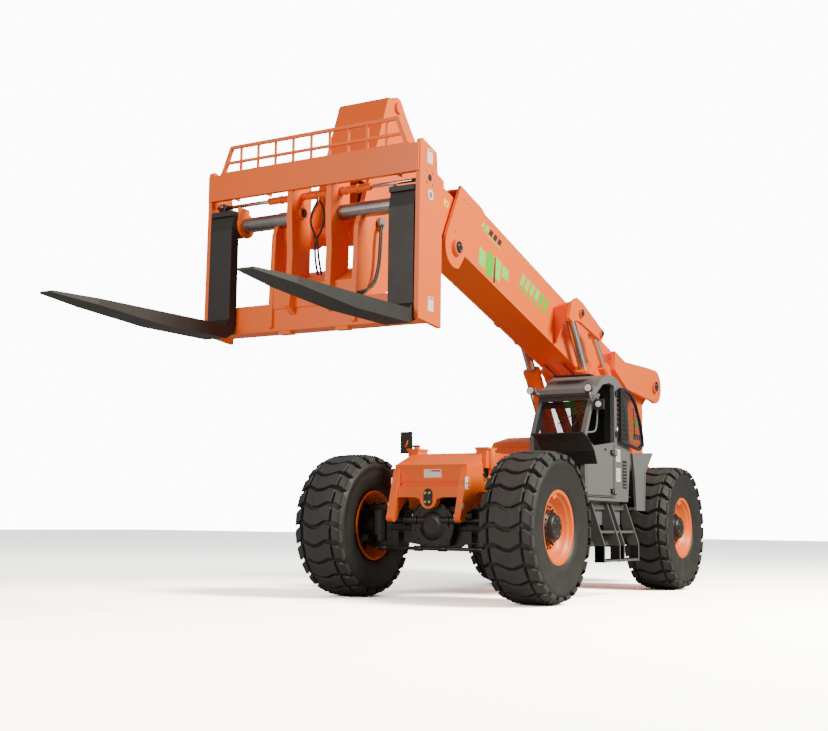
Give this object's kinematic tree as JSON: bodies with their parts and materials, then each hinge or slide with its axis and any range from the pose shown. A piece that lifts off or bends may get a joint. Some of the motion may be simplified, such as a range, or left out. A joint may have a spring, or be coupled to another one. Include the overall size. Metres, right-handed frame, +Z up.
{
  "type": "telescopic handler",
  "caption": "Heavy four-wheel telescopic handler with an offset cab, a two-stage boom and a wide sliding-fork carriage.",
  "frame": {"origin": "on the ground under the middle of the overall box, from fork tips to the boom rear", "axes": "+X to the machine left, -Y forward along the boom, +Z up"},
  "size_m": [2.904, 10.8372, 5.1936],
  "materials": {
    "orange_paint": "gloss",
    "grey_paint": "semi gloss",
    "black_paint": "semi gloss",
    "forged_steel": "semi gloss",
    "tyre_rubber": "matt",
    "rod_chrome": "polished",
    "tinted_glass": "gloss",
    "cab_trim": "matt"
  },
  "bodies": {
    "chassis": {"frame": "orange_paint", "counterweight": "orange_paint", "boom_tower": "orange_paint", "center_hood": "orange_paint", "engine_bay": "black_paint", "engine_block": "forged_steel", "front_axle": "black_paint", "rear_axle": "black_paint", "cab_shell": "grey_paint", "cab_windscreen": "tinted_glass", "cab_right_window": "tinted_glass", "cab_rear_window": "tinted_glass", "cab_seat": "cab_trim", "cab_console": "cab_trim", "cab_base": "grey_paint", "cab_steps": "grey_paint", "front_left_mudguard": "black_paint", "rear_left_fender": "grey_paint", "front_mirror": "black_paint"},
    "engine_cover": {"engine_cover": "orange_paint"},
    "cab_door": {"cab_door": "grey_paint"},
    "cab_upper_door": {"cab_upper_door": "black_paint", "cab_upper_glass": "tinted_glass"},
    "outer_boom": {"outer_boom": "orange_paint"},
    "inner_boom": {"inner_boom": "orange_paint"},
    "carriage": {"fork_carriage": "orange_paint", "carriage_backrest": "orange_paint", "left_fork_shaft": "rod_chrome", "right_fork_shaft": "rod_chrome", "fork_positioner": "orange_paint"},
    "left_fork": {"left_fork": "forged_steel"},
    "right_fork": {"right_fork": "forged_steel"},
    "tilt_barrel": {"tilt_barrel": "black_paint"},
    "tilt_rod": {"tilt_rod": "rod_chrome"},
    "left_lift_barrel": {"left_lift_barrel": "orange_paint"},
    "left_lift_rod": {"left_lift_rod": "rod_chrome"},
    "left_level_barrel": {"left_level_barrel": "orange_paint"},
    "left_level_rod": {"left_level_rod": "rod_chrome"},
    "right_lift_barrel": {"right_lift_barrel": "orange_paint"},
    "right_lift_rod": {"right_lift_rod": "rod_chrome"},
    "right_level_barrel": {"right_level_barrel": "orange_paint"},
    "right_level_rod": {"right_level_rod": "rod_chrome"},
    "front_left_knuckle": {"front_left_knuckle": "black_paint"},
    "front_left_wheel": {"front_left_tyre": "tyre_rubber", "front_left_rim": "orange_paint"},
    "front_right_knuckle": {"front_right_knuckle": "black_paint"},
    "front_right_wheel": {"front_right_tyre": "tyre_rubber", "front_right_rim": "orange_paint"},
    "rear_left_knuckle": {"rear_left_knuckle": "black_paint"},
    "rear_left_wheel": {"rear_left_tyre": "tyre_rubber", "rear_left_rim": "orange_paint"},
    "rear_right_knuckle": {"rear_right_knuckle": "black_paint"},
    "rear_right_wheel": {"rear_right_tyre": "tyre_rubber", "rear_right_rim": "orange_paint"}
  },
  "joints": [
    {"name": "boom_lift", "type": "hinge", "parent": "chassis", "child": "outer_boom", "pos_m": [0, 5.10543, 2.896], "axis": [-1, 0, 0], "range_deg": [-18, 40]},
    {"name": "boom_extend", "type": "slide", "parent": "outer_boom", "child": "inner_boom", "axis": [0, -0.9612, 0.276], "range_m": [0, 4.2]},
    {"name": "carriage_tilt", "type": "hinge", "parent": "inner_boom", "child": "carriage", "pos_m": [0, -2.69857, 3.68], "axis": [1, 0, 0], "range_deg": [-20, 45]},
    {"name": "left_fork_slide", "type": "slide", "parent": "carriage", "child": "left_fork", "axis": [-1, 0, 0], "range_m": [0, 0.37]},
    {"name": "right_fork_slide", "type": "slide", "parent": "carriage", "child": "right_fork", "axis": [1, 0, 0], "range_m": [0, 0.37]},
    {"name": "front_left_steer", "type": "hinge", "parent": "chassis", "child": "front_left_knuckle", "pos_m": [0.8, -0.51857, 0.81], "axis": [0, 0, 1], "range_deg": [-25, 25]},
    {"name": "front_right_steer", "type": "hinge", "parent": "chassis", "child": "front_right_knuckle", "pos_m": [-0.8, -0.51857, 0.81], "axis": [0, 0, 1], "range_deg": [-25.1, 25.1]},
    {"name": "front_left_spin", "type": "hinge", "parent": "front_left_knuckle", "child": "front_left_wheel", "pos_m": [1.152, -0.51857, 0.81], "axis": [1, 0, 0], "continuous": true},
    {"name": "front_right_spin", "type": "hinge", "parent": "front_right_knuckle", "child": "front_right_wheel", "pos_m": [-1.152, -0.51857, 0.81], "axis": [1, 0, 0], "continuous": true},
    {"name": "rear_left_steer", "type": "hinge", "parent": "chassis", "child": "rear_left_knuckle", "pos_m": [0.8, 3.49643, 0.81], "axis": [0, 0, 1], "range_deg": [-25, 25]},
    {"name": "rear_right_steer", "type": "hinge", "parent": "chassis", "child": "rear_right_knuckle", "pos_m": [-0.8, 3.49643, 0.81], "axis": [0, 0, 1], "range_deg": [-25.1, 25.1]},
    {"name": "rear_left_spin", "type": "hinge", "parent": "rear_left_knuckle", "child": "rear_left_wheel", "pos_m": [1.152, 3.49643, 0.81], "axis": [1, 0, 0], "continuous": true},
    {"name": "rear_right_spin", "type": "hinge", "parent": "rear_right_knuckle", "child": "rear_right_wheel", "pos_m": [-1.152, 3.49643, 0.81], "axis": [1, 0, 0], "continuous": true},
    {"name": "cab_door_swing", "type": "hinge", "parent": "chassis", "child": "cab_door", "pos_m": [1.262, 1.50143, 1.47], "axis": [0, 0, 1], "range_deg": [0, 80]},
    {"name": "cab_upper_door_swing", "type": "hinge", "parent": "chassis", "child": "cab_upper_door", "pos_m": [1.262, 1.50143, 2.12], "axis": [0, 0, 1], "range_deg": [-180, 0]},
    {"name": "engine_cover_lift", "type": "hinge", "parent": "chassis", "child": "engine_cover", "pos_m": [-0.52, 1.48143, 1.53], "axis": [0, 1, 0], "range_deg": [0, 60]},
    {"name": "left_lift_barrel_swing", "type": "hinge", "parent": "chassis", "child": "left_lift_barrel", "pos_m": [0.375, 3.88143, 1.07], "axis": [-1, 0, 0], "range_deg": [-12.91, 28.08]},
    {"name": "left_lift_rod_slide", "type": "slide", "parent": "left_lift_barrel", "child": "left_lift_rod", "axis": [0, -0.5748, 0.8183], "range_m": [-0.6011, 1.3235]},
    {"name": "left_level_barrel_swing", "type": "hinge", "parent": "chassis", "child": "left_level_barrel", "pos_m": [0.425, 4.23143, 1.85], "axis": [-1, 0, 0], "range_deg": [-15.43, 33.68]},
    {"name": "left_level_rod_slide", "type": "slide", "parent": "left_level_barrel", "child": "left_level_rod", "axis": [0, -0.6785, 0.7346], "range_m": [-0.4108, 0.9006]},
    {"name": "right_lift_barrel_swing", "type": "hinge", "parent": "chassis", "child": "right_lift_barrel", "pos_m": [-0.375, 3.88143, 1.07], "axis": [-1, 0, 0], "range_deg": [-12.91, 28.08]},
    {"name": "right_lift_rod_slide", "type": "slide", "parent": "right_lift_barrel", "child": "right_lift_rod", "axis": [0, -0.5748, 0.8183], "range_m": [-0.6011, 1.3235]},
    {"name": "right_level_barrel_swing", "type": "hinge", "parent": "chassis", "child": "right_level_barrel", "pos_m": [-0.425, 4.23143, 1.85], "axis": [-1, 0, 0], "range_deg": [-15.43, 33.68]},
    {"name": "right_level_rod_slide", "type": "slide", "parent": "right_level_barrel", "child": "right_level_rod", "axis": [0, -0.6785, 0.7346], "range_m": [-0.4108, 0.9006]},
    {"name": "tilt_barrel_swing", "type": "hinge", "parent": "inner_boom", "child": "tilt_barrel", "pos_m": [0, -2.06657, 5.082], "axis": [1, 0, 0], "range_deg": [-4.25, 8.93]},
    {"name": "tilt_rod_slide", "type": "slide", "parent": "tilt_barrel", "child": "tilt_rod", "axis": [0, -0.0953, -0.9955], "range_m": [-0.4577, 0.209]}
  ],
  "couplings": [
    {"joint": "front_right_steer", "follows": "front_left_steer", "ratio": 1},
    {"joint": "rear_right_steer", "follows": "rear_left_steer", "ratio": 1},
    {"joint": "left_lift_barrel_swing", "follows": "boom_lift", "ratio": 0.6896},
    {"joint": "left_lift_rod_slide", "follows": "boom_lift", "m_per_rad": 1.8814},
    {"joint": "left_level_barrel_swing", "follows": "boom_lift", "ratio": 0.8294},
    {"joint": "left_level_rod_slide", "follows": "boom_lift", "m_per_rad": 1.2757},
    {"joint": "right_lift_barrel_swing", "follows": "boom_lift", "ratio": 0.6896},
    {"joint": "right_lift_rod_slide", "follows": "boom_lift", "m_per_rad": 1.8814},
    {"joint": "right_level_barrel_swing", "follows": "boom_lift", "ratio": 0.8294},
    {"joint": "right_level_rod_slide", "follows": "boom_lift", "m_per_rad": 1.2757},
    {"joint": "tilt_barrel_swing", "follows": "carriage_tilt", "ratio": 0.1873},
    {"joint": "tilt_rod_slide", "follows": "carriage_tilt", "m_per_rad": -0.57}
  ]
}
